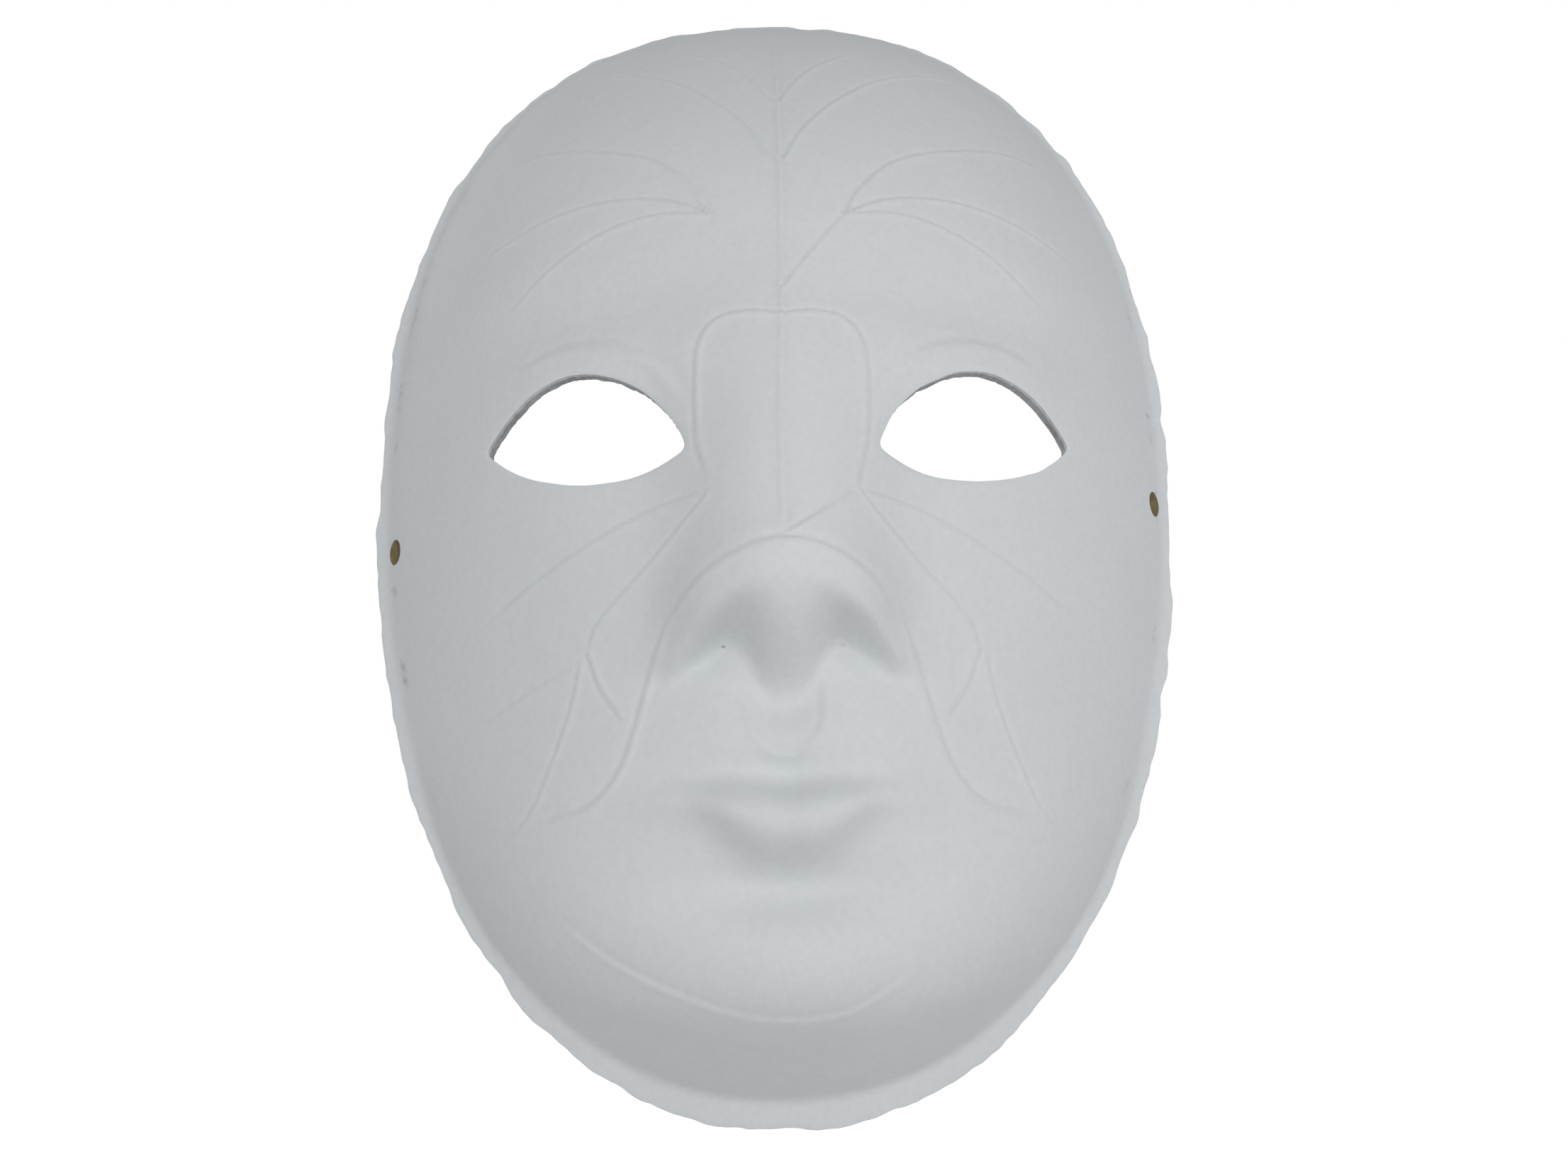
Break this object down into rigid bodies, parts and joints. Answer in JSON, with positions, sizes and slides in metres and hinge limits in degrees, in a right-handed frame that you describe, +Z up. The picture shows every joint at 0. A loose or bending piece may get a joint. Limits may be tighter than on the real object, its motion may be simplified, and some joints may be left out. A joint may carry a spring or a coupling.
{
  "type": "blank full-face mask",
  "caption": "Blank moulded paper-pulp full-face mask with almond eye openings, a narrow rim lip and punched side holes for a cord.",
  "frame": {"origin": "middle of the rim's back plane, on the centre line, level with the middle of the two cord holes", "axes": "+Z up along the face, the face looks along -Y, the hollow back opens along +Y, +X is the wearer's left"},
  "size_m": [0.175, 0.0697, 0.2505],
  "materials": {
    "white_facing": "matte, faint pulp grain",
    "grey_backing": "matte, rough pulp"
  },
  "bodies": {
    "root": {"face_ply": "white_facing", "backing_ply": "grey_backing"}
  },
  "joints": []
}
